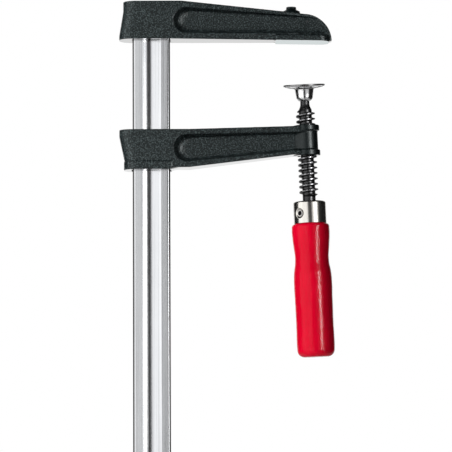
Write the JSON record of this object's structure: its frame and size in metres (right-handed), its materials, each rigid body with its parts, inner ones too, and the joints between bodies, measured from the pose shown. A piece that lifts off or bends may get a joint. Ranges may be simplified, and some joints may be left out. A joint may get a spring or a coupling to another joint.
{
  "type": "f clamp",
  "caption": "F clamp: cast fixed and sliding arms on a grooved steel rail, a trapezoidal screw spindle with a swivelling pressure plate, and a turned red wooden handle.",
  "frame": {"origin": "centre of the fixed jaw's clamping face", "axes": "+Z along the rail towards the fixed arm, +X from the rail to the jaw, +Y away from the viewer"},
  "size_m": [0.1571, 0.0303, 0.39],
  "materials": {
    "zinc_steel": "bright zinc plating",
    "pin_steel": "bare steel",
    "lacquered_iron": "black lacquer on a sand-cast skin",
    "black_steel": "blackened rolled thread",
    "ferrule_steel": "bright drawn steel",
    "red_wood": "gloss lacquer"
  },
  "bodies": {
    "frame": {"rail": "zinc_steel", "stop_pin": "pin_steel", "fixed_arm": "lacquered_iron", "head_key": "pin_steel"},
    "arm": {"sliding_arm": "lacquered_iron"},
    "feed": {"thrust_ball": "pin_steel"},
    "screw": {"spindle": "black_steel", "ferrule": "ferrule_steel", "ferrule_pin": "pin_steel", "handle": "red_wood"},
    "plate": {"pressure_plate": "zinc_steel"}
  },
  "joints": [
    {"name": "arm_slide", "type": "slide", "parent": "frame", "child": "arm", "axis": [0, 0, 1], "range_m": [-0.2525, 0.003]},
    {"name": "spindle_feed", "type": "slide", "parent": "arm", "child": "feed", "axis": [-0.0384, 0, 0.9993], "range_m": [-0.016, 0.024]},
    {"name": "spindle_turn", "type": "hinge", "parent": "feed", "child": "screw", "pos_m": [0.00146, 0, -0.03807], "axis": [-0.0384, 0, 0.9993], "range_deg": [-1440, 2160]},
    {"name": "plate_tilt", "type": "hinge", "parent": "feed", "child": "plate", "pos_m": [0.00146, 0, -0.03807], "axis": [0.9993, 0, 0.0384], "range_deg": [-14, 2]}
  ],
  "couplings": [
    {"joint": "spindle_feed", "follows": "spindle_turn", "m_per_rad": 0.00063662}
  ]
}
